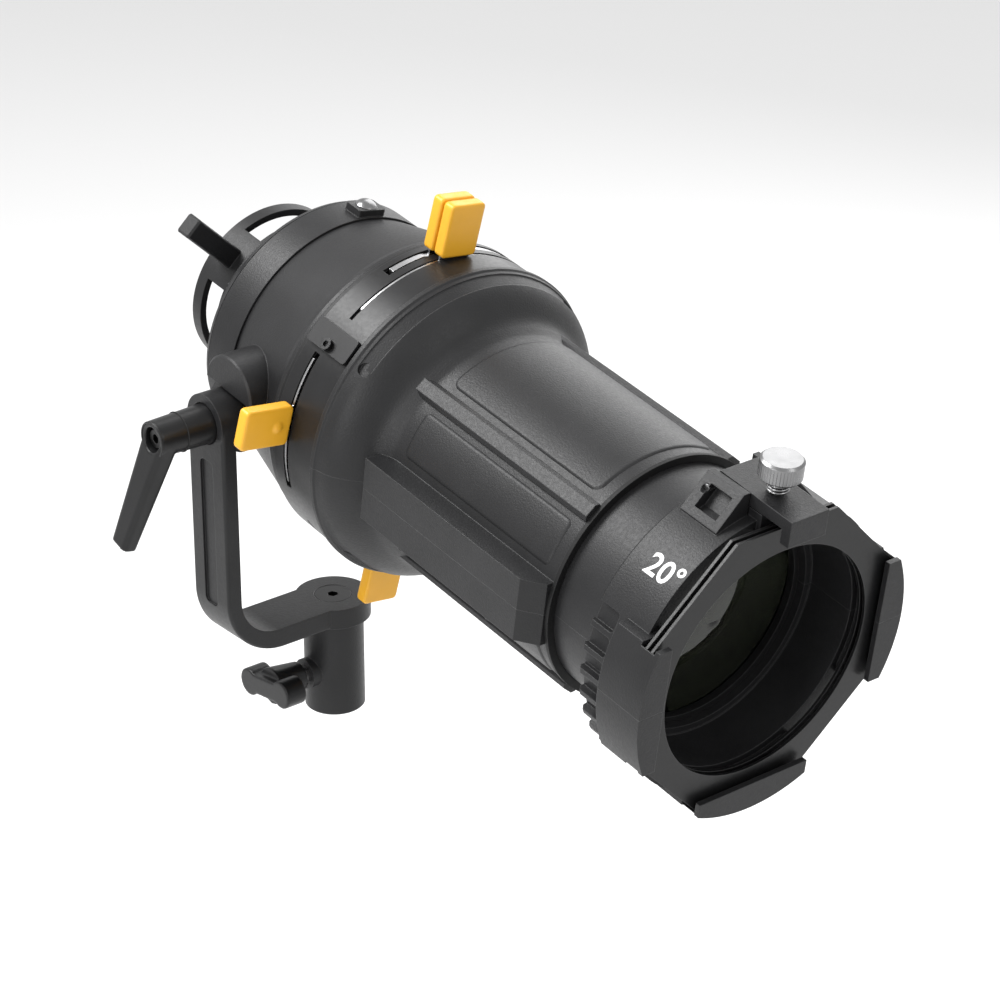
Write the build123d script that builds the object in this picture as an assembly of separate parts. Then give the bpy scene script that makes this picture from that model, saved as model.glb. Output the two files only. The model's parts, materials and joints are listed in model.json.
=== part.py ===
from build123d import *
import math
import os

# Optical spotlight head on a single-arm yoke. Millimetres.
# World frame: origin at the mouth of the stand socket, +Z up, the light leaves towards -Y,
# the yoke arm is on the -X side.
# Head frame: z runs forward along the optical axis from the rear collar, y is up, x is away
# from the yoke arm. Lengths along the optical axis are called stations.

os.makedirs("parts", exist_ok=True)

# ---- driving dimensions: yoke and stand socket ----
SOCKET_R = 14.0
SOCKET_BORE_R = 8.05
SOCKET_BORE_DEPTH = 38.0
SOCKET_HEIGHT = 46.8
BAR_THICK = 9.7
YOKE_WIDTH = 27.0
ARM_THICK = 7.0
HUB_R = 13.5
HUB_THICK = 13.2
WING_SCREW_Z = 20.2
SCREW_R = 3.95
THREAD_HOLE_R = 4.0

# ---- driving dimensions: where the head sits on the yoke ----
AXIS_X = 21.0
PIVOT_Z = 161.5
PIVOT_STATION = 80.0
PIVOT_DROP = 7.0
NOSE_DOWN = 8.8
BOSS_FACE = 73.2
HUB_FACE = 74.4
SHUTTER_ROLL = -8.5

# ---- driving dimensions: stations along the optical axis ----
COLLAR_FRONT = 30.0
COVER_REAR = 33.4
RING_REAR = 44.0
CASING_REAR = 61.5
CASING_STEP = 106.0
DRUM_REAR = 109.0
BAND_REAR = 112.0
BAND_FRONT = 140.0
BARREL_FRONT = 278.5
TUBE_REAR = 206.0
HOUSING_REAR = 311.0
HOUSING_FRONT = 341.0
CLAW_FRONT = 354.0
THUMB_STATION = 340.5

# ---- driving dimensions: radii ----
COLLAR_R = 40.5
COLLAR_BORE_R = 37.2
SPIGOT_R = 37.15
RING_R = 61.8
CASING_REAR_R = 60.8
DRUM_R = 72.3
DRUM_BORE_R = 69.9
BAND_R = 73.6
BARREL_R = 56.5
BARREL_BORE_R = 54.2
TUBE_R = 53.6
TUBE_BORE_R = 50.8
HOUSING_R = 66.5
CLAW_R = 71.2
FRAME_HALF = 65.0
LIGHT_R = 53.6
APERTURE_R = 31.0

# ---- driving dimensions: shutters ----
SHEET = 1.0
BLADE_R = 73.2
HANDLE_SHIFT = 4.0
GOBO_STATION = 117.1
GOBO_HALF_WIDTH = 31.0
SIDE_BLADE_STATION = 120.1
TOP_BLADE_STATION = 124.5
HANDLE_R = 74.2
HANDLE_LENGTH = 25.0
HANDLE_WIDTH = 19.0
HANDLE_THICK = 6.2

BASE = (Align.CENTER, Align.CENTER, Align.MIN)
HEAD = (
    Pos(AXIS_X, 0, PIVOT_Z)
    * Rot(90 + NOSE_DOWN, 0, 0)
    * Pos(0, PIVOT_DROP, -PIVOT_STATION)
)
nodes = {}


# ---- helpers ----
def disc(radius, rear, front):
    """Cylinder about z between two stations."""
    return Pos(0, 0, rear) * Cylinder(radius, front - rear, align=BASE)


def tube(outer, inner, rear, front):
    """Pipe about z between two stations."""
    return disc(outer, rear, front) - disc(inner, rear - 1, front + 1)


def turned(outline):
    """Solid of revolution about z from (radius, station) points."""
    return revolve(Plane.XZ * make_face(Polyline(*outline, close=True)), Axis.Z)


def block(x_span, y_span, z_span):
    """Box between two values on each axis."""
    size = [span[1] - span[0] for span in (x_span, y_span, z_span)]
    corner = Pos(x_span[0], y_span[0], z_span[0])
    return corner * Box(*size, align=(Align.MIN, Align.MIN, Align.MIN))


def across(radius, x_span, y=0.0, z=0.0):
    """Cylinder along x through the point (y, z)."""
    rod = Cylinder(radius, x_span[1] - x_span[0], align=BASE)
    return Pos(x_span[0], y, z) * Rot(0, 90, 0) * rod


def sector(centre, half_angle, rear, front, radius=120.0):
    """Wedge about z, used to cut or keep a stretch of a ring."""
    steps = 8
    points = [(0, 0)]
    for i in range(steps + 1):
        angle = math.radians(centre - half_angle + 2 * half_angle * i / steps)
        points.append((radius * math.cos(angle), radius * math.sin(angle)))
    return Pos(0, 0, rear) * extrude(make_face(Polyline(*points, close=True)), front - rear)


def upper(shape):
    """Half of a shape above the split plane of the head."""
    return shape & block((-150, 150), (0, 150), (-10, 400))


def lower(shape):
    """Half of a shape below the split plane of the head."""
    return shape & block((-150, 150), (-150, 0), (-10, 400))


def group(shapes):
    """Several identical fasteners kept as separate solids."""
    return Compound([solid for shape in shapes for solid in shape.solids()])


def socket_screw(radius, length, head_radius, head_height):
    """Cap screw along z with its head seat at the origin and its head above."""
    hexagon = extrude(RegularPolygon(head_radius * 0.55, 6), head_height * 0.6)
    shank = Pos(0, 0, -length) * Cylinder(radius, length, align=BASE)
    head = Cylinder(head_radius, head_height, align=BASE)
    return shank + head - Pos(0, 0, head_height * 0.4) * hexagon


def keep(name, shape, place=HEAD):
    """File one sub-part under its name, in the world frame."""
    nodes[name] = place * shape


def polar(radius, angle):
    """Point at an angle about the optical axis, 90 degrees being the top."""
    return (radius * math.cos(math.radians(angle)), radius * math.sin(math.radians(angle)))


# ---- yoke and stand socket (world frame) ----
WORLD = Location()
HUB_INNER_X = AXIS_X - HUB_FACE
HUB_OUTER_X = HUB_INNER_X - HUB_THICK
ARM_OUTER_X = HUB_OUTER_X
ARM_INNER_X = ARM_OUTER_X + ARM_THICK
BAR_TOP = SOCKET_HEIGHT + BAR_THICK
BAR_END_R = 17.5
OUTER_BEND = 30.0
INNER_BEND = 20.0


def yoke_bracket():
    """Cast arm, curved bar and clamp hub in one piece."""
    side = Rectangle(-ARM_OUTER_X, PIVOT_Z - SOCKET_HEIGHT, align=(Align.MIN, Align.MIN))
    side = Pos(ARM_OUTER_X, SOCKET_HEIGHT) * side
    corner = side.vertices().sort_by(Axis.X)[:2].sort_by(Axis.Y)[0]
    side = fillet(corner, OUTER_BEND)
    hollow = Rectangle(-ARM_INNER_X, PIVOT_Z - BAR_TOP, align=(Align.MIN, Align.MIN))
    hollow = Pos(ARM_INNER_X, BAR_TOP) * hollow
    corner = hollow.vertices().sort_by(Axis.X)[:2].sort_by(Axis.Y)[0]
    hollow = fillet(corner, INNER_BEND)
    profile = Plane.XZ * (side - hollow)
    bracket = extrude(profile, YOKE_WIDTH / 2, both=True)
    bracket = fillet(bracket.edges().filter_by(Axis.Z).sort_by(Axis.X)[:2], 1.5)
    bracket += Pos(0, 0, SOCKET_HEIGHT) * Cylinder(BAR_END_R, BAR_THICK, align=BASE)
    bracket += across(HUB_R, (HUB_OUTER_X, HUB_INNER_X), 0, PIVOT_Z)
    bracket -= across(9.6, (HUB_OUTER_X - 1, HUB_OUTER_X + 2.5), 0, PIVOT_Z)
    bracket -= across(4.3, (HUB_OUTER_X - 1, HUB_INNER_X + 1), 0, PIVOT_Z)
    pocket = block(
        (ARM_OUTER_X - 1, ARM_OUTER_X + 1.2), (-4.8, 4.8), (BAR_TOP + 16, PIVOT_Z - HUB_R - 4)
    )
    bracket -= fillet(pocket.edges().filter_by(Axis.X), 3)
    bracket -= Pos(0, 0, BAR_TOP - 4.6) * Cone(4.2, 8.8, 4.6, align=BASE)
    bracket -= Pos(0, 0, SOCKET_HEIGHT - 1) * Cylinder(4.1, BAR_THICK + 2, align=BASE)
    return bracket


keep("yoke_bracket", yoke_bracket(), WORLD)

socket = Cylinder(SOCKET_R, SOCKET_HEIGHT - 0.02, align=BASE)
socket = chamfer(socket.edges().filter_by(GeomType.CIRCLE), 0.6)
socket -= Cylinder(SOCKET_BORE_R, SOCKET_BORE_DEPTH, align=BASE)
socket += across(7.2, (-17.0, -10.0), 0, WING_SCREW_Z) - Cylinder(11, 40, align=BASE)
socket -= across(THREAD_HOLE_R, (-18.0, -6.0), 0, WING_SCREW_Z)
socket -= Pos(0, 0, SOCKET_HEIGHT - 8) * Cylinder(3.3, 9, align=BASE)
keep("stand_socket", socket, WORLD)

socket_bolt = Pos(0, 0, BAR_TOP - 0.1 - 4.3) * Cone(3.9, 8.5, 4.3, align=BASE)
socket_bolt += Pos(0, 0, SOCKET_HEIGHT - 7) * Cylinder(3.2, BAR_THICK + 4, align=BASE)
socket_bolt -= Pos(0, 0, BAR_TOP - 3) * extrude(RegularPolygon(2.6, 6), 4)
keep("socket_bolt", socket_bolt, WORLD)

# ---- wing screw in the stand socket: the shank feeds, the knob turns on it ----
WING_REAR_X = -36.0
WING_FRONT_X = -20.0
shank = across(SCREW_R, (-33.0, -SOCKET_BORE_R - 0.05), 0, WING_SCREW_Z)
keep("stand_screw", shank, WORLD)


def wing_knob():
    """Two-lobed knob whose hub runs along x."""
    hub = Pos(WING_REAR_X, 0, WING_SCREW_Z) * Rot(0, 90, 0) * Cone(9.0, 7.0, 16, align=BASE)
    lobes = Rectangle(28, 9.5) + Pos(12.5, 0) * Circle(6.6) + Pos(-12.5, 0) * Circle(6.6)
    lobes = extrude(lobes, 10.5)
    wings = Pos(-29.5, 0, WING_SCREW_Z) * Rot(0, -90, 0) * Rot(0, 0, 98) * lobes
    knob = hub + wings
    return knob - across(THREAD_HOLE_R, (-33.1, WING_FRONT_X + 1), 0, WING_SCREW_Z)


keep("wing_knob", wing_knob(), WORLD)

# ---- tilt pivot: washer, clamp stud, ratchet lever ----
LEVER_TIP = (-12.0, 16.0, -54.5)
LEVER_ROOT_X = AXIS_X - 110.0
LEVER_END_X = AXIS_X - 115.0
STUD_END_X = AXIS_X - 101.0

washer = across(11.5, (HUB_INNER_X + 0.05, AXIS_X - BOSS_FACE - 0.05), 0, PIVOT_Z)
washer -= across(4.3, (HUB_INNER_X - 1, AXIS_X - BOSS_FACE + 1), 0, PIVOT_Z)
keep("friction_washer", washer, WORLD)

stud = across(SCREW_R, (STUD_END_X, AXIS_X - 57.5), 0, PIVOT_Z)
splines = across(6.4, (STUD_END_X, HUB_OUTER_X + 1.9), 0, PIVOT_Z)
for i in range(12):
    tooth = Rot(30 * i, 0, 0) * block((0, 12), (-0.7, 0.7), (5.2, 7.0))
    splines -= Pos(STUD_END_X - 0.5, 0, PIVOT_Z) * tooth
keep("clamp_stud", stud + splines, WORLD)

lever_bolt = socket_screw(2.0, 6.0, 4.2, 4.6)
lever_bolt += Pos(0, 0, -7.5) * Cylinder(2.6, 7.5, align=BASE)
keep("lever_bolt", lever_bolt, Pos(LEVER_END_X + 6.4, 0, PIVOT_Z) * Rot(0, -90, 0))


def coil(radius, wire, pitch, turns):
    """Helical compression spring along z."""
    path = Helix(pitch, pitch * turns, radius)
    start = Plane(origin=path @ 0, z_dir=path % 0)
    return sweep(start * Circle(wire), path)


lever_spring = coil(4.4, 0.45, 1.7, 3)
keep("lever_spring", lever_spring, Pos(LEVER_END_X + 12.5, 0, PIVOT_Z) * Rot(0, -90, 0))


def clamp_lever():
    """Hub sleeve along x with a tapered arm leaning away from the yoke."""
    hub_front = HUB_OUTER_X + 1.2
    hub = Pos(LEVER_END_X, 0, PIVOT_Z) * Rot(0, 90, 0)
    hub *= Cone(8.4, 9.2, hub_front - LEVER_END_X, align=BASE)
    root = Vector(LEVER_ROOT_X, 0, PIVOT_Z)
    tip = root + Vector(*LEVER_TIP)
    run = Plane(origin=root, z_dir=tip - root, x_dir=(0, 1, 0))
    start = run * RectangleRounded(17.0, 9.8, 3.0)
    finish = run.offset((tip - root).length) * RectangleRounded(11.5, 7.6, 2.6)
    lever = hub + loft([start, finish])
    lever -= across(7.0, (STUD_END_X - 0.2, hub_front + 1), 0, PIVOT_Z)
    lever -= across(5.6, (LEVER_END_X - 20, LEVER_END_X + 12.9), 0, PIVOT_Z)
    lever -= across(3.0, (LEVER_END_X, STUD_END_X + 1), 0, PIVOT_Z)
    return lever


keep("clamp_lever", clamp_lever(), WORLD)

# ---- rear collar: turning lock ring, spigot, cover and ring ----
BRIDGE_ANGLE = 137.0
WINDOW_REAR = 7.0
WINDOW_FRONT = 19.5
SLOT_STATION = 24.8


def lock_ring():
    """Open collar with three bridges and a radial lever lug."""
    ring = tube(COLLAR_R, COLLAR_BORE_R, 0, COLLAR_FRONT)
    ring = chamfer(ring.edges().group_by(Axis.Z)[0], 0.8)
    for i in range(3):
        middle = BRIDGE_ANGLE + 60 + 120 * i
        ring -= sector(middle, 40, WINDOW_REAR, WINDOW_FRONT)
        ring -= sector(middle, 17.5, SLOT_STATION - 1.7, SLOT_STATION + 1.7)
    lug = block((COLLAR_BORE_R + 1.5, 73), (-5, 5), (7.4, 16.4))
    lug = fillet(lug.edges().filter_by(Axis.X), 1.4)
    lug = chamfer(lug.faces().sort_by(Axis.X)[-1].edges(), 0.9)
    return ring + Rot(0, 0, BRIDGE_ANGLE) * lug


keep("lock_ring", lock_ring())

guide_screws = []
for i in range(3):
    angle = BRIDGE_ANGLE + 60 + 120 * i
    seat = Rot(0, 0, angle) * Pos(COLLAR_BORE_R + 0.3, 0, SLOT_STATION) * Rot(0, 90, 0)
    guide = Pos(0, 0, -2.7) * Cylinder(1.5, 5.4, align=BASE)
    guide_screws.append(seat * guide)
keep("lock_ring_guide_screws", group(guide_screws))

spigot = turned([
    (33.5, 20.5), (SPIGOT_R, 20.5), (SPIGOT_R, 30.3), (50, 30.3), (50, 33.3),
    (36, 33.3), (36, 42), (33.5, 42),
])
for i in range(3):
    angle = BRIDGE_ANGLE + 60 + 120 * i
    hole = Rot(0, 0, angle) * Pos(30, 0, SLOT_STATION) * Rot(0, 90, 0)
    spigot -= hole * Cylinder(1.55, 12, align=BASE)

COVER_SCREW_R = 45.5
COVER_SCREWS = 6
cover_spots = [polar(COVER_SCREW_R, 30 + 60 * i) for i in range(COVER_SCREWS)]
rear_cover = turned([
    (36.2, COVER_REAR), (51, COVER_REAR), (60.6, 41.5), (61.5, 43.9), (58.8, 43.9),
    (50, 36.2), (36.2, 36.2),
])
cover_screws = []
for x, y in cover_spots:
    spigot -= Pos(x, y, 29) * Cylinder(1.6, 6, align=BASE)
    rear_cover -= Pos(x, y, 32) * Cylinder(1.6, 6, align=BASE)
    cover_screws.append(Pos(x, y, 30.2) * Rot(180, 0, 0) * socket_screw(1.5, 6, 2.75, 2.4))
keep("mount_spigot", spigot)
keep("rear_cover", rear_cover)
keep("cover_screws", group(cover_screws))

BLOCK_ANGLE = 79.0
rear_ring = turned([
    (58.8, RING_REAR), (RING_R - 0.6, RING_REAR), (RING_R, RING_REAR + 0.6),
    (RING_R, CASING_REAR - 0.1), (58.8, CASING_REAR - 0.1),
])
screw_block = block((60, 64.8), (-7.5, 7.5), (49.5, 60.5))
screw_block = fillet(screw_block.edges().filter_by(Axis.X), 1.5)
screw_seat = Rot(0, 0, BLOCK_ANGLE) * Pos(64.8, 0, 55) * Rot(0, 90, 0)
rear_ring += Rot(0, 0, BLOCK_ANGLE) * screw_block - disc(59.5, 48, 62)
rear_ring -= screw_seat * Pos(0, 0, -8) * Cylinder(2.1, 9, align=BASE)
keep("rear_ring", rear_ring)

dome = Sphere(6.2) & Pos(0, 0, 3.4) * Box(16, 16, 10, align=BASE)
dome_screw = Pos(0, 0, -3.35) * dome + Pos(0, 0, -7) * Cylinder(2.0, 7.5, align=BASE)
keep("ring_lock_screw", dome_screw, HEAD * screw_seat)

# ---- casing with the pivot boss ----
BOSS_R = 17.0
BOSS_STEP = 14.4
CROWN_STATION = PIVOT_STATION + 3.0
BOSS_TOP = 78.3


def main_casing():
    """Tapered shell from the rear ring to the shutter drum, with both side bosses."""
    shell = turned([
        (54, CASING_REAR), (CASING_REAR_R, CASING_REAR), (71.2, CASING_STEP - 1.5),
        (72.2, CASING_STEP + 1), (72.2, DRUM_REAR - 0.1), (66, DRUM_REAR - 0.1),
        (66, DRUM_REAR - 2.5), (69.2, DRUM_REAR - 2.5), (69.2, CASING_STEP),
        (58.6, CASING_REAR + 3), (54, CASING_REAR + 3),
    ])
    crown_y = BOSS_STEP - PIVOT_DROP
    boss = across(BOSS_R, (-BOSS_FACE, -50), -PIVOT_DROP, PIVOT_STATION)
    boss += across(BOSS_R, (-BOSS_FACE, -50), crown_y, CROWN_STATION)
    flank = (CROWN_STATION - BOSS_R, PIVOT_STATION + BOSS_R)
    boss += block((-BOSS_FACE, -50), (-PIVOT_DROP, crown_y), flank)
    step = across(BOSS_R, (-BOSS_TOP, -BOSS_FACE + 1), crown_y, CROWN_STATION)
    step &= block((-90, 0), (crown_y, 60), (0, 120))
    step = chamfer(step.faces().sort_by(Axis.X)[0].edges(), 0.8)
    far_boss = across(BOSS_R, (52, 70), -PIVOT_DROP, PIVOT_STATION)
    inside = turned([(0, 60), (57, 60), (57, 62), (67, CASING_STEP), (0, CASING_STEP)])
    casing = shell + (boss - inside) + step + (far_boss - inside)
    casing -= across(6.05, (-BOSS_FACE - 1, -50), -PIVOT_DROP, PIVOT_STATION)
    return casing


keep("main_casing", main_casing())

bush = across(6.0, (-BOSS_FACE + 0.1, -60.5), -PIVOT_DROP, PIVOT_STATION)
bush -= across(THREAD_HOLE_R, (-BOSS_FACE - 1, -50), -PIVOT_DROP, PIVOT_STATION)
keep("pivot_bush", bush)

# ---- condenser: cell, two lenses, spacer and retainer ----
cell = turned([
    (46.3, 64.6), (53.5, 64.6), (53.5, 67), (49.3, 67), (49.3, 100), (42.5, 100),
    (42.5, 98), (46.3, 98),
])
keep("condenser_cell", cell)


def lens(radius, rear, front, bulge_rear, bulge_front):
    """Round lens with a cylindrical edge and spherical faces."""
    body = disc(radius, rear - bulge_rear, front + bulge_front)
    if bulge_front:
        sphere = (radius**2 + bulge_front**2) / (2 * bulge_front)
        body &= Pos(0, 0, front + bulge_front - sphere) * Sphere(sphere)
    if bulge_rear:
        sphere = (radius**2 + bulge_rear**2) / (2 * bulge_rear)
        body &= Pos(0, 0, rear - bulge_rear + sphere) * Sphere(sphere)
    return body


keep("condenser_lens_rear", lens(46.0, 69.0, 71.5, 0, 7.0))
keep("condenser_lens_front", lens(46.0, 92.5, 95.0, 7.0, 0))
condenser_rings = [
    tube(46.0, 43.0, 66.4, 68.9),
    tube(46.0, 43.0, 72.6, 91.4),
    tube(46.0, 43.0, 95.1, 97.9),
]
keep("condenser_rings", group(condenser_rings))

# ---- shutter drum, band and gate plates, rolled about the optical axis ----
SHUTTER = HEAD * Rot(0, 0, SHUTTER_ROLL)
TOP, LEFT, BOTTOM, RIGHT = 90.0, 180.0, 270.0, 0.0
slots = [
    sector(TOP, 27.5, GOBO_STATION - 2.0, GOBO_STATION + 2.6),
    sector(TOP, 48, TOP_BLADE_STATION - 0.9, TOP_BLADE_STATION + 0.9),
    sector(BOTTOM, 48, TOP_BLADE_STATION - 0.9, TOP_BLADE_STATION + 0.9),
    sector(LEFT, 26.5, SIDE_BLADE_STATION - 1.0, SIDE_BLADE_STATION + 2.6),
    sector(RIGHT, 26.5, SIDE_BLADE_STATION - 1.0, SIDE_BLADE_STATION + 2.6),
]
drum = tube(DRUM_R, DRUM_BORE_R, DRUM_REAR, BAND_FRONT - 0.4)
for slot in slots:
    drum -= slot
keep("shutter_drum", drum, SHUTTER)

CLASP_ANGLE = 33.0
CLASP_REAR = BAND_REAR + 0.5
CLASP_FRONT = BAND_FRONT - 0.8
CLASP_HALF = 6.0
CLASP_R = 74.4
CLASP_THICK = 1.4
SCREW_ARC = 3.0
SCREW_STATION = (CLASP_REAR + CLASP_FRONT) / 2


def band(centre, half_angle):
    """Sheet-metal band segment round the drum."""
    strip = tube(BAND_R, DRUM_R + 0.1, BAND_REAR, BAND_FRONT - 0.2)
    strip &= sector(centre, half_angle, BAND_REAR - 1, BAND_FRONT + 1)
    for slot in slots:
        strip -= slot
    return strip


band_upper = band(TOP, 90 - CLASP_ANGLE)
band_lower = band(BOTTOM, 89 + CLASP_ANGLE)
band_screws = []
for angle, side in ((CLASP_ANGLE, 1), (180 - CLASP_ANGLE, -1)):
    place = Rot(0, 0, angle)
    plate = block((CLASP_R, CLASP_R + CLASP_THICK), (-CLASP_HALF, CLASP_HALF), (CLASP_REAR, CLASP_FRONT))
    plate = fillet(plate.edges().filter_by(Axis.X), 1.5)
    root = sorted((side * 1.5, side * (CLASP_HALF - 0.2)))
    plate += block((DRUM_R + 0.3, CLASP_R + 0.5), root, (CLASP_REAR + 1, CLASP_FRONT - 1))
    bore = Pos(60, -side * SCREW_ARC, SCREW_STATION) * Rot(0, 90, 0) * Cylinder(1.6, 20, align=BASE)
    band_upper += place * plate
    band_upper -= place * bore
    band_lower -= place * bore
    seat = Pos(CLASP_R + CLASP_THICK + 0.05, -side * SCREW_ARC, SCREW_STATION) * Rot(0, 90, 0)
    band_screws.append(place * seat * socket_screw(1.5, 3.2, 2.7, 2.2))
keep("band_upper", band_upper, SHUTTER)
keep("band_lower", band_lower, SHUTTER)
keep("band_screws", group(band_screws), SHUTTER)

PLATE_R = 69.6
GATE_SCREWS = [(x, y) for x in (-54, 54) for y in (-37, 37)]


def gate_plate(rear, front, aperture):
    """Round plate with the light aperture and the four clamp screw holes."""
    plate = tube(PLATE_R, aperture, rear, front)
    for x, y in GATE_SCREWS:
        plate -= Pos(x, y, rear - 1) * Cylinder(1.7, front - rear + 2, align=BASE)
    return plate


GUIDE_REAR = DRUM_REAR + 0.6
GUIDE_FRONT = GOBO_STATION + 1.7
guide = gate_plate(GUIDE_REAR, GUIDE_FRONT, APERTURE_R)
channel_half = GOBO_HALF_WIDTH + 0.3
channel = (GOBO_STATION - 1.7, GUIDE_FRONT + 1)
guide -= block((-channel_half, channel_half), (-42, 80), channel)
keep("gobo_guide", guide, SHUTTER)
MID_A = SIDE_BLADE_STATION - 0.7
keep("gate_plate_middle", gate_plate(GUIDE_FRONT + 0.05, MID_A, APERTURE_R), SHUTTER)
MID_B = SIDE_BLADE_STATION + 0.7
MID_C = TOP_BLADE_STATION - 0.7
spacer_plate = gate_plate(MID_B, MID_C, APERTURE_R)
keep("blade_spacer", spacer_plate, SHUTTER)
GATE_FRONT = TOP_BLADE_STATION + 2.7
front_plate = gate_plate(TOP_BLADE_STATION + 0.7, GATE_FRONT, APERTURE_R)
keep("gate_plate_front", front_plate, SHUTTER)
gate_screws = []
for x, y in GATE_SCREWS:
    gate_screws.append(Pos(x, y, GATE_FRONT + 0.05) * socket_screw(1.6, 17, 2.9, 2.4))
keep("gate_screws", group(gate_screws), SHUTTER)


# ---- framing blades, gobo holder and their handles ----
def handle(bumped):
    """Soft plastic grip moulded on the tang of a blade, standing along +x from the band."""
    grip = block(
        (HANDLE_R, HANDLE_R + HANDLE_LENGTH),
        (-HANDLE_WIDTH / 2, HANDLE_WIDTH / 2),
        (-HANDLE_THICK / 2, HANDLE_THICK / 2),
    )
    grip = fillet(grip.edges().filter_by(Axis.Z), 2.0)
    grip = fillet(grip.faces().sort_by(Axis.Z)[-1].edges(), 1.0)
    grip = fillet(grip.faces().sort_by(Axis.Z)[0].edges(), 1.0)
    tang = block((HANDLE_R - 1, HANDLE_R + 18.2), (-8.1, 8.1), (-0.55, 0.55))
    bump = Sphere(4.0) & Pos(0, 0, 3.0) * Box(9, 9, 3, align=BASE)
    bump = Pos(HANDLE_R + 7, 0, HANDLE_THICK / 2 - 3.0) * bump
    return grip + bump - tang if bumped else grip - tang


def blade(half_width, offset):
    """Sheet blade standing along +x: straight inner edge, round outer edge, tang."""
    plate = Circle(BLADE_R) & Pos(1, 0) * Rectangle(90, 2 * half_width, align=(Align.MIN, Align.CENTER))
    tang = Pos(68, offset) * Rectangle(24, 16, align=(Align.MIN, Align.CENTER))
    plate += tang
    return extrude(plate, SHEET / 2, both=True)


BLADES = {
    "top": (TOP, TOP_BLADE_STATION, 50.0, HANDLE_SHIFT),
    "bottom": (BOTTOM, TOP_BLADE_STATION, 50.0, -HANDLE_SHIFT),
    "left": (LEFT, SIDE_BLADE_STATION, 30.0, 0.0),
    "right": (RIGHT, SIDE_BLADE_STATION, 30.0, 0.0),
}
for name, (angle, station, half_width, offset) in BLADES.items():
    place = SHUTTER * Rot(0, 0, angle) * Pos(0, 0, station)
    keep(f"blade_{name}", blade(half_width, offset), place)
    grip_place = place * Pos(0, offset, 0)
    keep(f"blade_{name}_handle", handle(name in ("left", "right")), grip_place)

holder = Pos(-38, 0) * Rectangle(109.5, 2 * GOBO_HALF_WIDTH, align=(Align.MIN, Align.CENTER))
holder = fillet(holder.vertices(), 3) & Circle(BLADE_R)
holder -= Circle(26)
holder = Pos(0, 0, -1.4) * extrude(holder, 2.8)
gobo_tang = block((68, HANDLE_R + 18), (HANDLE_SHIFT - 8, HANDLE_SHIFT + 8), (-0.5, 0.5))
gobo_place = SHUTTER * Rot(0, 0, TOP) * Pos(0, 0, GOBO_STATION)
keep("gobo_holder", holder + gobo_tang, gobo_place)
keep("gobo_handle", handle(False), gobo_place * Pos(0, HANDLE_SHIFT, 0))

# ---- front shell: shoulder, neck and barrel in two halves ----
RIB_ANGLE = 41.5
RIB_REAR = 165.0
FIN_X = 65.0
NECK = [
    (74.2, 143.4), (73.0, 148.0), (70.4, 153.0), (65.4, 158.6), (60.8, 163.2), (58.0, 168.6),
    (BARREL_R, 178.0),
]
RECESS_R = 73.2
RECESS_REAR = 144.8
RECESS_FRONT = 151.0
RECESS_HALF = 50.0
FIN_HALF = 15.0


def front_shell():
    """Shoulder and barrel with four corner ribs and two side fins."""
    neck = Spline(*NECK, tangents=((-0.35, 1), (0, 1)))
    rest = Polyline(
        (BARREL_R, NECK[-1][1]), (BARREL_R, BARREL_FRONT), (BARREL_BORE_R, BARREL_FRONT),
        (BARREL_BORE_R, 178), (55, 168.5), (58.8, 161.6), (63.5, 156), (67.2, 149), (67.2, 130),
        (69.85, 130), (69.85, BAND_FRONT), (74.6, BAND_FRONT), (75, BAND_FRONT + 0.4),
        (75, BAND_FRONT + 2.4), NECK[0],
    )
    shell = revolve(Plane.XZ * make_face(neck + rest), Axis.Z)
    for middle in (90, 270):
        groove = turned([
            (RECESS_R, RECESS_REAR), (90, RECESS_REAR), (90, RECESS_FRONT),
            (RECESS_R - 2.4, RECESS_FRONT),
        ])
        shell -= groove & sector(middle, RECESS_HALF, RECESS_REAR, RECESS_FRONT)
        for end in (middle - RECESS_HALF, middle + RECESS_HALF):
            spot = Rot(0, 0, end) * Pos(RECESS_R - 1.2, 0, (RECESS_REAR + RECESS_FRONT) / 2)
            reach = (RECESS_FRONT - RECESS_REAR) / 2
            shell -= spot * Rot(0, 90, 0) * Cylinder(reach, 20, align=BASE)
    for angle in (90 - RIB_ANGLE, 90 + RIB_ANGLE, 270 - RIB_ANGLE, 270 + RIB_ANGLE):
        rib = block((55.4, 59.4), (-4.5, 4.5), (RIB_REAR, BARREL_FRONT))
        rib = chamfer(rib.edges().filter_by(Axis.Z).sort_by(Axis.X)[-2:], 1.6)
        shell += Rot(0, 0, angle) * rib
    for side in (-1, 1):
        outline = Polyline(
            (50, RIB_REAR + 2), (FIN_X, RIB_REAR), (FIN_X, BARREL_FRONT - 9),
            (58, BARREL_FRONT), (50, BARREL_FRONT), close=True,
        )
        fin = extrude(Plane.XZ * make_face(outline), FIN_HALF, both=True)
        fin = fin if side == 1 else Rot(0, 0, 180) * fin
        shell += fin - disc(BARREL_BORE_R + 1, 150, 290)
    return shell


shell = front_shell()
keep("front_shell_upper", upper(shell))
keep("front_shell_lower", lower(shell))

seal = turned([
    (TUBE_R + 0.05, BARREL_FRONT - 3), (BARREL_BORE_R - 0.05, BARREL_FRONT - 3),
    (BARREL_BORE_R - 0.05, BARREL_FRONT + 0.1), (57.2, BARREL_FRONT + 0.1),
    (57.2, BARREL_FRONT + 2), (TUBE_R + 0.05, BARREL_FRONT + 2),
])
keep("barrel_seal_ring", seal)

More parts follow.
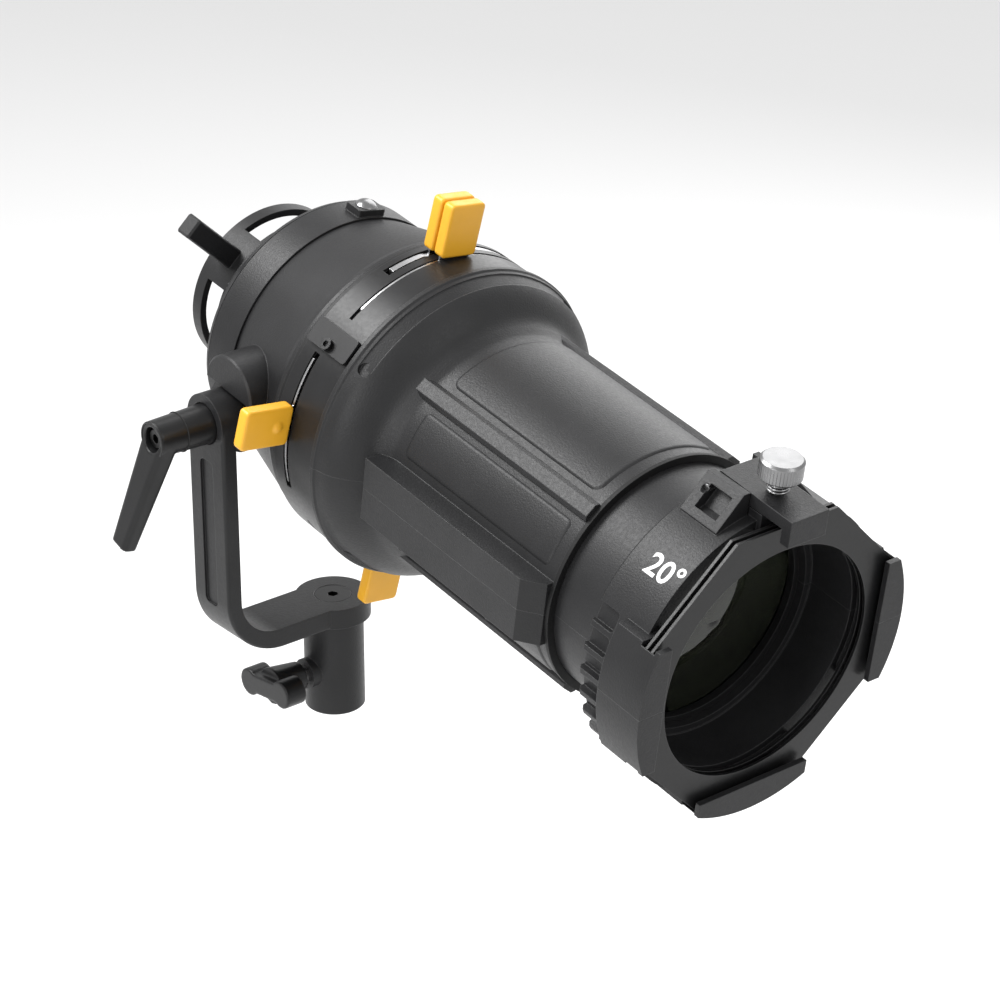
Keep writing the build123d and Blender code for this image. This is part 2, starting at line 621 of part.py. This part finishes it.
shell_screws = []
for side in (-1, 1):
    for station in (190, 250):
        spot = Pos(side * 60.5, -FIN_HALF - 0.05, station) * Rot(90, 0, 0)
        shell_screws.append(spot * socket_screw(1.5, 10, 2.7, 2.4))
keep("shell_screws", group(shell_screws))
for side in (-1, 1):
    for station in (190, 250):
        bore = Pos(side * 60.5, 0, station) * Rot(90, 0, 0) * Cylinder(1.6, 16, align=BASE)
        nodes["front_shell_lower"] -= HEAD * bore

# ---- sliding lens tube ----
tube_shape = tube(TUBE_R, TUBE_BORE_R, TUBE_REAR, HOUSING_REAR + 6)
keep("lens_tube_upper", upper(tube_shape))
keep("lens_tube_lower", lower(tube_shape))

keep("rear_lens", lens(50.0, 226.0, 229.0, 6.0, 6.0))
keep("lens_spacer", tube(50.7, 48.3, 229.8, 304.8))
keep("front_lens", lens(50.0, 305.5, 308.5, 5.5, 9.0))
lens_rings = [tube(50.7, 48.0, 221.5, 225.2), tube(50.7, 48.0, 309.5, 313.0)]
keep("lens_retaining_rings", group(lens_rings))

# ---- lens housing, claws and gel frames ----
FRAME_CHANNEL = (343.5, 351.4)
CLAW_HALF = 29.5
CLAW_REAR = 328.5
PIN_STATION = 318.5
PIN_Y = 71.0
GATE_HALF = 9.9
GATE_TOP = 76.4
EAR_FRONT = 336.0


def ear(side):
    """Gusset beside the gate with a rectangular window."""
    outline = Polyline((10.3, 60), (10.3, 76), (13.5, 76), (26, 62.2), (24, 56), close=True)
    wall = Pos(0, 0, HOUSING_REAR + 3.5) * extrude(make_face(outline), EAR_FRONT - HOUSING_REAR - 3.5)
    window = Pos(19.4, 69, 326) * Rot(0, 0, -47.4) * Box(11, 9, 12.5)
    wall -= window
    wall = wall if side == 1 else mirror(wall, Plane.YZ)
    return wall


def lens_housing():
    """Drum with grip pockets, three claws for the gel frames and the gate ears."""
    drum_shape = turned([
        (TUBE_R + 0.1, HOUSING_REAR), (HOUSING_R - 1.5, HOUSING_REAR),
        (HOUSING_R, HOUSING_REAR + 1.5), (HOUSING_R, HOUSING_FRONT),
        (LIGHT_R + 0.8, HOUSING_FRONT), (LIGHT_R + 0.8, HOUSING_REAR + 6),
        (TUBE_R + 0.1, HOUSING_REAR + 6),
    ])
    for i in range(24):
        pocket = block((HOUSING_R - 3.6, HOUSING_R + 2), (-4.4, 4.4), (HOUSING_REAR - 1, 324.5))
        pocket = fillet(pocket.edges().filter_by(Axis.X), 1.8)
        angle = 158 + 224 * i / 23
        drum_shape -= Rot(0, 0, angle) * pocket
    for angle in (180, 270, 0):
        claw = tube(CLAW_R, LIGHT_R + 2, CLAW_REAR, CLAW_FRONT)
        claw &= block((52, 80), (-CLAW_HALF, CLAW_HALF), (CLAW_REAR, CLAW_FRONT))
        claw -= block((40, FRAME_HALF + 0.4), (-40, 40), FRAME_CHANNEL)
        claw -= block((40, 58.5), (-40, 40), (340, CLAW_FRONT + 1))
        claw += tube(CLAW_R, 57.6, CLAW_REAR, FRAME_CHANNEL[0]) & block(
            (52, 80), (-CLAW_HALF, CLAW_HALF), (CLAW_REAR, FRAME_CHANNEL[0])
        )
        drum_shape += Rot(0, 0, angle) * claw
    for side in (-1, 1):
        drum_shape += ear(side)
    drum_shape += block((-9.5, 9.5), (60, 69.4), (HOUSING_REAR + 12, FRAME_CHANNEL[0] - 0.3))
    drum_shape -= disc(LIGHT_R + 0.7, HOUSING_REAR + 6, 400)
    drum_shape -= across(1.55, (-30, 30), PIN_Y, PIN_STATION)
    thumb_hole = Pos(0, 50, THUMB_STATION) * Rot(-90, 0, 0) * Cylinder(2.5, 30, align=BASE)
    return drum_shape - thumb_hole


housing = lens_housing()
keep("lens_housing_upper", upper(housing))
keep("lens_housing_lower", lower(housing))

octagon = RegularPolygon(FRAME_HALF, 8, major_radius=False, rotation=22.5)
gel_frame = extrude(octagon - Circle(LIGHT_R), 1.4)
keep("gel_frames", group(Pos(0, 0, station) * gel_frame for station in (345.0, 348.2)))

# ---- gate over the gel slot, its pin, thumb screw and spring ----
pin = across(1.5, (-17.0, 17.0), PIN_Y, PIN_STATION)
keep("gate_pin", pin)


def gel_gate():
    """Bar hinged at its rear end, with a lip in front of the gel frames."""
    outline = Polyline(
        (67.2, 317), (69.9, 315.2), (74, 315.2), (GATE_TOP, 318), (GATE_TOP - 1, 360),
        (63.6, 360), (63.6, 355), (70.2, 355), (70.2, 336), (70.2, 321.5), close=True,
    )
    bar = extrude(Plane.YZ * make_face(outline), GATE_HALF, both=True)
    bar -= across(1.55, (-10, 10), PIN_Y, PIN_STATION)
    thumb_hole = Pos(0, 60, THUMB_STATION) * Rot(-90, 0, 0) * Cylinder(2.5, 30, align=BASE)
    return bar - thumb_hole


keep("gel_gate", gel_gate())

THUMB_HEAD_REAR = 82.8
thumb_place = Pos(0, 0, THUMB_STATION) * Rot(-90, 0, 0)
thumb_shank = Pos(0, 0, 70.5) * Cylinder(2.4, 17.2, align=BASE)
keep("thumb_screw", thumb_place * thumb_shank)
knurl = Pos(0, 0, THUMB_HEAD_REAR) * Cylinder(9.1, 9.0, align=BASE)
knurl = chamfer(knurl.edges().filter_by(GeomType.CIRCLE), 1.0)
knurl -= Pos(0, 0, THUMB_HEAD_REAR - 1) * Cylinder(2.45, 6.4, align=BASE)
for i in range(40):
    groove = Rot(0, 0, 9 * i) * Pos(9.3, 0, THUMB_HEAD_REAR - 1)
    knurl -= groove * Rot(0, 0, 45) * Box(0.6, 0.6, 8.2, align=BASE)
keep("thumb_head", thumb_place * knurl)
thumb_spring = coil(4.2, 0.55, 1.42, 3.4)
keep("thumb_spring", thumb_place * Pos(0, 0, GATE_TOP + 0.3) * thumb_spring)

for name, shape in nodes.items():
    export_step(shape, f"parts/{name}.step")
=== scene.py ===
import json
import math

import bmesh
import bpy
from mathutils import Euler, Matrix, Vector


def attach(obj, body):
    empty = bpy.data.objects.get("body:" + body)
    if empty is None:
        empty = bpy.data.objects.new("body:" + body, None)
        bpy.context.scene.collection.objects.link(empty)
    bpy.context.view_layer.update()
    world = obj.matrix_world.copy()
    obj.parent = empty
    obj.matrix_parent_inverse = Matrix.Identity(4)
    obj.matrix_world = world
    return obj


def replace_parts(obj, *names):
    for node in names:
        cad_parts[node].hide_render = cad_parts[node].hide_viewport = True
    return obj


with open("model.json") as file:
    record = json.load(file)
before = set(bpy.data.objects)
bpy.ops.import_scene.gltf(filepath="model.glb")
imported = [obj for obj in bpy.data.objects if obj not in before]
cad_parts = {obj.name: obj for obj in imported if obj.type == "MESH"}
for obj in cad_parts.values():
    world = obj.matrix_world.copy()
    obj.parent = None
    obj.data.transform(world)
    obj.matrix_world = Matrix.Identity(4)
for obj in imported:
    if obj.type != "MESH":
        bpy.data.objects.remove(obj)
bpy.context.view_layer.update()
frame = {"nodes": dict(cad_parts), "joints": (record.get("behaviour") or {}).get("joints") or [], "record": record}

MM = 0.001
PIVOT = Vector(next(j["pos_m"] for j in frame["joints"] if j["name"] == "head_tilt"))
PIVOT_STATION = 80.0
PIVOT_DROP = 7.0
NOSE_DOWN = 8.8
BARREL_R = 56.5
HOUSING_R = 66.5
PANEL_REAR, PANEL_FRONT = 176.0, 273.0

# Head frame: x away from the yoke arm, y up, z forward along the optical axis, in metres.
HEAD = (
    Matrix.Translation(PIVOT)
    @ Matrix.Rotation(math.radians(90 + NOSE_DOWN), 4, "X")
    @ Matrix.Translation((0, PIVOT_DROP * MM, -PIVOT_STATION * MM))
)
BODY_OF = {n: b for b, names in frame["record"]["behaviour"]["bodies"].items() for n in names}


# ---- materials ----
NOISE_LOW, NOISE_HIGH = 0.3, 0.7
GRAIN_DETAIL = 3.0
MOTTLE_SCALE, MOTTLE_DETAIL = 60, 4.0
# Dot product of the rounded and the flat normal where the painted edge highlight starts and where it is full; the
# lighter edges stand partly for rubbed edges.
EDGE_HIGHLIGHT_WEAR_START, EDGE_HIGHLIGHT_WEAR_FULL = 0.99, 0.85
# Colour gain and lift of the painted edge highlight, partly rubbed edges.
EDGE_HIGHLIGHT_WEAR_GAIN, EDGE_HIGHLIGHT_WEAR_LIFT = 2.2, 0.05


class Finish:
    """A procedural surface: base colour, roughness, grain, and softened edges painted lighter as a painted edge
    highlight, partly rubbed edges.
    """

    def __init__(self, name, colour, roughness, metal=0.0):
        self.material = bpy.data.materials.new(name)
        self.material.use_nodes = True
        self.tree = self.material.node_tree
        self.shader = self.tree.nodes["Principled BSDF"]
        self.shader.inputs["Metallic"].default_value = metal
        self.shader.inputs["Roughness"].default_value = roughness
        self.shader.inputs["Base Color"].default_value = (*colour, 1)
        self.colour = colour
        self.roughness = roughness
        self.place = self.add("ShaderNodeTexCoord").outputs["Object"]

    def add(self, kind, **settings):
        node = self.tree.nodes.new(kind)
        for key, value in settings.items():
            setattr(node, key, value)
        return node

    def link(self, source, target):
        self.tree.links.new(source, target)

    def noise(self, scale, detail=2.0, stretch=(1, 1, 1)):
        mapping = self.add("ShaderNodeMapping")
        mapping.inputs["Scale"].default_value = stretch
        self.link(self.place, mapping.inputs["Vector"])
        node = self.add("ShaderNodeTexNoise")
        node.inputs["Scale"].default_value = scale
        node.inputs["Detail"].default_value = detail
        self.link(mapping.outputs["Vector"], node.inputs["Vector"])
        return node.outputs["Fac"]

    def ramp(self, value, low, high):
        """The middle of the noise's values, spread over low..high."""
        node = self.add("ShaderNodeMapRange")
        node.inputs["From Min"].default_value = NOISE_LOW
        node.inputs["From Max"].default_value = NOISE_HIGH
        node.inputs["To Min"].default_value = low
        node.inputs["To Max"].default_value = high
        self.link(value, node.inputs["Value"])
        return node.outputs["Result"]

    def vary_roughness(self, scale, amount):
        low, high = self.roughness - amount, self.roughness + amount
        self.link(self.ramp(self.noise(scale), low, high), self.shader.inputs["Roughness"])

    def surface(self, grain, depth, edge=0.0005, edge_highlight_wear=0.0, mottle=0.15, stretch=(1, 1, 1)):
        """Grain as bump over rounded edges, with slightly lighter edges (painted edge highlight, partly rubbed
        edges) and mottled colour.
        """
        rounded = self.add("ShaderNodeBevel", samples=4)
        rounded.inputs["Radius"].default_value = edge
        bump = self.add("ShaderNodeBump")
        bump.inputs["Strength"].default_value = 1.0
        bump.inputs["Distance"].default_value = depth
        self.link(self.noise(grain, GRAIN_DETAIL, stretch), bump.inputs["Height"])
        self.link(rounded.outputs["Normal"], bump.inputs["Normal"])
        self.link(bump.outputs["Normal"], self.shader.inputs["Normal"])
        self.paint(rounded.outputs["Normal"], edge_highlight_wear, mottle)
        return self

    def paint(self, rounded, edge_highlight_wear, mottle):
        """Base colour with mottling, lighter where the rounded normal leaves the flat one: a painted edge
        highlight, partly rubbed edges.
        """
        blend = self.add("ShaderNodeMix", data_type="RGBA")
        dark = [c * (1 - mottle) for c in self.colour]
        light = [min(1.0, c * (1 + mottle)) for c in self.colour]
        blend.inputs["A"].default_value = (*dark, 1)
        blend.inputs["B"].default_value = (*light, 1)
        mottling = self.noise(MOTTLE_SCALE, MOTTLE_DETAIL)
        self.link(self.ramp(mottling, 0, 1), blend.inputs["Factor"])
        flat = self.add("ShaderNodeNewGeometry").outputs["True Normal"]
        match = self.add("ShaderNodeVectorMath", operation="DOT_PRODUCT")
        self.link(rounded, match.inputs[0])
        self.link(flat, match.inputs[1])
        edge_highlight_mask = self.add("ShaderNodeMapRange")
        edge_highlight_mask.inputs["From Min"].default_value = EDGE_HIGHLIGHT_WEAR_START
        edge_highlight_mask.inputs["From Max"].default_value = EDGE_HIGHLIGHT_WEAR_FULL
        edge_highlight_mask.inputs["To Max"].default_value = edge_highlight_wear
        self.link(match.outputs["Value"], edge_highlight_mask.inputs["Value"])
        edge_highlight_mix = self.add("ShaderNodeMix", data_type="RGBA")
        # Lighter edge colour: painted edge highlight, near white on metals.
        edge_highlight_colour = [min(1.0, c * EDGE_HIGHLIGHT_WEAR_GAIN + EDGE_HIGHLIGHT_WEAR_LIFT) for c in self.colour]
        edge_highlight_mix.inputs["B"].default_value = (*edge_highlight_colour, 1)
        self.link(edge_highlight_mask.outputs["Result"], edge_highlight_mix.inputs["Factor"])
        self.link(blend.outputs["Result"], edge_highlight_mix.inputs["A"])
        self.link(edge_highlight_mix.outputs["Result"], self.shader.inputs["Base Color"])


def black(name, tone, roughness, grain=1800, depth=4e-5, edge_highlight_wear=0.5, edge=5e-4):
    """Painted or moulded black, very slightly blue, with a fine grain."""
    finish = Finish(name, (tone, tone, tone * 1.06), roughness)
    finish.shader.inputs["Specular IOR Level"].default_value = 0.32
    finish.vary_roughness(scale=700, amount=0.04)
    return finish.surface(grain, depth, edge, edge_highlight_wear)


def metal(name, colour, roughness, grain, depth=1e-5, stretch=(1, 1, 1)):
    """Bare or plated metal; stretch draws the grain out into brush lines."""
    finish = Finish(name, colour, roughness, metal=1.0)
    finish.vary_roughness(scale=220, amount=0.06)
    # The lighter edges on metal are a painted edge highlight.
    return finish.surface(grain, depth, edge=3e-4, edge_highlight_wear=0.2, mottle=0.06, stretch=stretch)


def grey(tone):
    """Neutral metal colour, very slightly blue."""
    return (tone, tone, tone * 1.01)


def yellow():
    """Moulded grip plastic that lets a little light in."""
    finish = Finish("handle_yellow", (0.74, 0.37, 0.018), 0.4)
    finish.vary_roughness(scale=300, amount=0.06)
    # Lighter edges: painted edge highlight, partly rubbed edges.
    finish.surface(grain=900, depth=2e-5, edge=6e-4, edge_highlight_wear=0.25, mottle=0.04)
    finish.shader.inputs["Subsurface Weight"].default_value = 0.03
    finish.shader.inputs["Subsurface Radius"].default_value = (0.004, 0.002, 0.0008)
    finish.shader.inputs["Subsurface Scale"].default_value = 1.0
    return finish


def glass():
    """Coated lens glass with faint smears."""
    finish = Finish("lens_glass", (0.16, 0.18, 0.12), 0.03)
    finish.shader.inputs["Transmission Weight"].default_value = 1.0
    finish.shader.inputs["IOR"].default_value = 1.45
    finish.shader.inputs["Specular IOR Level"].default_value = 0.35
    smears = finish.ramp(finish.noise(90), 0.015, 0.05)
    finish.link(smears, finish.shader.inputs["Roughness"])
    return finish


# The lighter-edge strength of each finish sets its painted edge highlight, partly rubbed edges.
BLACKS = {
    "cast_black": dict(tone=0.012, roughness=0.42, grain=1300, depth=9e-5, edge_highlight_wear=0.4, edge=6e-4),
    "sheet_black": dict(tone=0.009, roughness=0.36, grain=900, depth=1e-5, edge=3e-4),
    "drum_black": dict(tone=0.006, roughness=0.5, grain=1500, depth=2e-5),
    "shell_plastic": dict(
        tone=0.012, roughness=0.44, grain=1250, depth=11e-5, edge_highlight_wear=0.45, edge=6e-4
    ),
    "tube_plastic": dict(tone=0.013, roughness=0.46, grain=1400, depth=8e-5),
    "lever_plastic": dict(tone=0.007, roughness=0.36, grain=1300, depth=2e-5, edge_highlight_wear=0.4, edge=6e-4),
    "gel_frame_black": dict(tone=0.006, roughness=0.34, grain=700, depth=1e-5, edge_highlight_wear=0.9, edge=4e-4),
    "washer_nylon": dict(tone=0.02, roughness=0.5),
    "seal_rubber": dict(tone=0.004, roughness=0.62, grain=900, depth=3e-5),
}
METALS = {
    "gobo_black": dict(colour=grey(0.42), roughness=0.32, grain=600),
    "blade_steel": dict(colour=grey(0.42), roughness=0.3, grain=500, stretch=(1, 1, 14)),
    "zinc_steel": dict(colour=grey(0.32), roughness=0.32, grain=900),
    "spring_steel": dict(colour=grey(0.35), roughness=0.24, grain=900),
    "polished_metal": dict(
        colour=grey(0.24), roughness=0.3, grain=700, depth=1.5e-5, stretch=(1, 1, 6)
    ),
    "brass_bush": dict(colour=(0.7, 0.5, 0.22), roughness=0.3, grain=800),
}
FINISHES = {name: black(name, **look) for name, look in BLACKS.items()}
FINISHES.update({name: metal(name, **look) for name, look in METALS.items()})
FINISHES["handle_yellow"] = yellow()
FINISHES["lens_glass"] = glass()
BLACK_OXIDE = metal("black_oxide", grey(0.045), roughness=0.34, grain=900)
BLACKENED = (
    "band_screws", "shell_screws", "cover_screws", "socket_bolt", "lever_bolt", "gate_screws",
)
WHITE_PRINT = Finish("white_print", (0.82, 0.82, 0.82), 0.55)
WHITE_PRINT.surface(grain=1400, depth=1e-5, edge=1e-4)


def paint(obj, finish):
    obj.data.materials.clear()
    obj.data.materials.append(finish.material)


for part in frame["record"]["subparts"]:
    finish = BLACK_OXIDE if part["node"] in BLACKENED else FINISHES[part["material_slot"]]
    paint(frame["nodes"][part["node"]], finish)


# ---- making pieces ----
def add_piece(name, mesh, body, slot, finish=None):
    piece = bpy.data.objects.new(name, mesh)
    bpy.context.scene.collection.objects.link(piece)
    paint(piece, finish or FINISHES[slot])
    for face in mesh.polygons:
        face.use_smooth = True
    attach(piece, body)
    return piece


def evaluated(obj):
    """Mesh of an object with its modifiers applied."""
    depsgraph = bpy.context.evaluated_depsgraph_get()
    return bpy.data.meshes.new_from_object(obj.evaluated_get(depsgraph))


VOXEL = 0.45


def soften(node, rounds):
    """Moulded copy of a CAD node with every edge rounded, standing in its place."""
    source = frame["nodes"][node]
    work = bpy.data.objects.new("work", source.data.copy())
    bpy.context.scene.collection.objects.link(work)
    remesh = work.modifiers.new("remesh", "REMESH")
    remesh.mode = "VOXEL"
    remesh.voxel_size = VOXEL * MM
    smooth = work.modifiers.new("smooth", "SMOOTH")
    smooth.factor = 0.5
    smooth.iterations = rounds
    mesh = evaluated(work)
    bpy.data.objects.remove(work)
    slot = next(p["material_slot"] for p in frame["record"]["subparts"] if p["node"] == node)
    piece = add_piece(f"{node}_moulded", mesh, BODY_OF[node], slot)
    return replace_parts(piece, node)


def on_surface(radius, degrees, station):
    """World point at an angle about the optical axis, in millimetres in and metres out."""
    angle = math.radians(degrees)
    local = Vector((radius * math.cos(angle), radius * math.sin(angle), station)) * MM
    return HEAD @ local


RELIEF_STEP = 0.7


def relief(name, angles, stations, height, body, slot):
    """Curved sheet over the barrel, raised by height(arc, station) millimetres.

    The arc is measured from the middle of the angles; where height is negative the sheet is
    buried in the shell below it.
    """
    middle = (angles[0] + angles[1]) / 2
    turn = angles[1] - angles[0]
    wide = math.radians(turn) * BARREL_R
    across = max(2, round(wide / RELIEF_STEP))
    along = max(2, round((stations[1] - stations[0]) / RELIEF_STEP))
    verts = []
    for i in range(along + 1):
        station = stations[0] + (stations[1] - stations[0]) * i / along
        for j in range(across + 1):
            share = j / across - 0.5
            radius = BARREL_R + height(wide * share, station)
            verts.append(on_surface(radius, middle + turn * share, station))
    faces = []
    for i in range(along):
        for j in range(across):
            first = i * (across + 1) + j
            faces.append((first, first + 1, first + across + 2, first + across + 1))
    mesh = bpy.data.meshes.new(name)
    mesh.from_pydata(verts, [], faces)
    return add_piece(name, mesh, body, slot)


def rounded_distance(u, v, half_u, half_v, corner):
    """Distance inside a rounded rectangle's outline, positive inside."""
    du = abs(u) - (half_u - corner)
    dv = abs(v) - (half_v - corner)
    outside = math.hypot(max(du, 0), max(dv, 0)) + min(max(du, dv), 0)
    return corner - outside


def step_up(distance, width):
    """0 to 1 smoothly as the distance goes from 0 to width."""
    share = min(max(distance / width, 0.0), 1.0)
    return share * share * (3 - 2 * share)


BURIED = -0.25
PANEL_EDGE = 1.1


def raised_panel(name, angles, height, corner):
    """Raised panel with rounded corners and soft edges along the barrel."""
    half_u = math.radians(angles[1] - angles[0]) * BARREL_R / 2
    half_v = (PANEL_FRONT - PANEL_REAR) / 2
    centre = (PANEL_REAR + PANEL_FRONT) / 2

    def lift(arc, station):
        inside = rounded_distance(arc, station - centre, half_u, half_v, corner)
        return BURIED + (height - BURIED) * step_up(inside, PANEL_EDGE)

    return relief(name, angles, (PANEL_REAR, PANEL_FRONT), lift, "barrel", "shell_plastic")


RING_POINTS = 96


def ring_line(name, radius, station, thick, body, slot, place):
    """Round wire following a circle about the z axis of place."""
    curve = bpy.data.curves.new(name, "CURVE")
    curve.dimensions = "3D"
    curve.bevel_depth = thick * MM
    curve.bevel_resolution = 2
    spline = curve.splines.new("POLY")
    spline.points.add(RING_POINTS - 1)
    for i, point in enumerate(spline.points):
        angle = math.radians(360 * (i / RING_POINTS))
        local = Vector((radius * math.cos(angle), radius * math.sin(angle), station)) * MM
        point.co = (*(place @ local), 1)
    spline.use_cyclic_u = True
    work = bpy.data.objects.new(name, curve)
    bpy.context.scene.collection.objects.link(work)
    bpy.context.view_layer.update()
    mesh = evaluated(work)
    bpy.data.objects.remove(work)
    return add_piece(name, mesh, body, slot)


# ---- moulded pieces in place of plain CAD solids ----
for side in ("top", "bottom", "left", "right"):
    soften(f"blade_{side}_handle", 8)
soften("gobo_handle", 8)
soften("wing_knob", 8)
soften("clamp_lever", 6)

# ---- barrel panels ----
raised_panel("panel_top", (56, 124), height=0.7, corner=5.0)
raised_panel("panel_bottom", (236, 304), height=0.7, corner=5.0)
for name, angles in (
    ("panel_left_upper", (138.5, 161)), ("panel_right_upper", (19, 41.5)),
    ("panel_left_lower", (199, 221.5)), ("panel_right_lower", (318.5, 341)),
):
    raised_panel(name, angles, height=0.6, corner=3.0)


# ---- focal angle marking on the lens housing ----
PRINT_THICK = 0.08
PRINT_BOLDNESS = 0.22
PRINT_LIFT = 0.02


def marking(name, text, degrees, station, size, body):
    """Printed text bent round the lens housing, reading forward along the optical axis."""
    curve = bpy.data.curves.new(name, "FONT")
    curve.body = text
    curve.size = size * MM
    curve.align_x = "CENTER"
    curve.align_y = "CENTER"
    curve.extrude = PRINT_THICK * MM
    curve.offset = PRINT_BOLDNESS * MM
    curve.resolution_u = 4
    work = bpy.data.objects.new(name, curve)
    bpy.context.scene.collection.objects.link(work)
    mesh = evaluated(work)
    bpy.data.objects.remove(work)
    bm = bmesh.new()
    bm.from_mesh(mesh)
    bmesh.ops.triangulate(bm, faces=bm.faces)
    bmesh.ops.subdivide_edges(bm, edges=bm.edges, cuts=1)
    for vert in bm.verts:
        along, up, out = vert.co
        turn = math.degrees(up / (HOUSING_R * MM))
        radius = HOUSING_R + out / MM + PRINT_LIFT
        vert.co = on_surface(radius, degrees - turn, station + along / MM)
    bm.to_mesh(mesh)
    bm.free()
    return add_piece(name, mesh, body, "shell_plastic", WHITE_PRINT)


marking("focal_angle", "20°", degrees=134, station=331.0, size=13.6, body="lens_tube")

# ---- seam rings on the lever sleeve, measured outward from the pivot ----
SLEEVE = Matrix.Translation(PIVOT) @ Matrix.Rotation(math.radians(-90), 4, "Y")
SEAM_R, SEAM_STATION, SEAM_THICK = 8.85, 101.5, 0.35
RIM_R, RIM_STATION, RIM_THICK = 7.9, 114.9, 0.5
ring_line("lever_seam", SEAM_R, SEAM_STATION, SEAM_THICK, "clamp_lever", "seal_rubber", SLEEVE)
ring_line("lever_cap_rim", RIM_R, RIM_STATION, RIM_THICK, "clamp_lever", "lever_plastic", SLEEVE)

# ---- stage ----
FLOOR_HALF = 30.0
FLOOR_LEVEL = -0.42
FLOOR_TONE = 0.78


def floor():
    """Plain pale floor, low enough for every pose of the head."""
    mesh = bpy.data.meshes.new("floor")
    bm = bmesh.new()
    signs = ((-1, -1), (1, -1), (1, 1), (-1, 1))
    bm.faces.new([bm.verts.new((x * FLOOR_HALF, y * FLOOR_HALF, FLOOR_LEVEL)) for x, y in signs])
    bm.to_mesh(mesh)
    bm.free()
    obj = bpy.data.objects.new("floor", mesh)
    bpy.context.scene.collection.objects.link(obj)
    finish = Finish("floor_pale", (FLOOR_TONE, FLOOR_TONE, FLOOR_TONE), 0.8)
    finish.vary_roughness(scale=3, amount=0.04)
    paint(obj, finish)


AIM = Vector((0.02, -0.10, 0.14))


def soft_light(name, place, size, watts):
    """Rectangular studio light turned towards the object."""
    data = bpy.data.lights.new(name, "AREA")
    data.shape = "RECTANGLE"
    data.size, data.size_y = size
    data.energy = watts
    lamp = bpy.data.objects.new(name, data)
    lamp.location = place
    lamp.rotation_euler = (AIM - Vector(place)).to_track_quat("-Z", "Y").to_euler()
    bpy.context.scene.collection.objects.link(lamp)


floor()
soft_light("key", (-0.7, 0.6, 1.5), size=(0.9, 0.7), watts=34)
soft_light("side", (-1.5, -0.5, 0.6), size=(0.35, 1.2), watts=8)
soft_light("rim", (1.2, 0.5, 0.9), size=(1.0, 1.6), watts=14)
soft_light("front", (0.3, -1.8, 1.2), size=(0.8, 0.5), watts=5)

WORLD_STRENGTH = 0.85
world = bpy.data.worlds.new("studio")
world.use_nodes = True
background = world.node_tree.nodes["Background"]
background.inputs["Color"].default_value = (1, 1, 1, 1)
background.inputs["Strength"].default_value = WORLD_STRENGTH
bpy.context.scene.world = world

CAMERA_FROM_PIVOT = Vector((-0.8468, -1.1528, 0.6286))
AZIMUTH = math.radians(-38.727)
ELEVATION = math.radians(25.844)
FOCAL_MM = 124.65
camera_data = bpy.data.cameras.new("camera")
camera_data.lens = FOCAL_MM
camera_data.sensor_width = 36.0
camera_data.clip_end = 100.0
camera = bpy.data.objects.new("camera", camera_data)
camera.location = PIVOT + CAMERA_FROM_PIVOT
camera.rotation_euler = Euler((math.pi / 2 - ELEVATION, 0, AZIMUTH))
bpy.context.scene.collection.objects.link(camera)
bpy.context.scene.camera = camera
bpy.context.scene.view_settings.view_transform = "Standard"
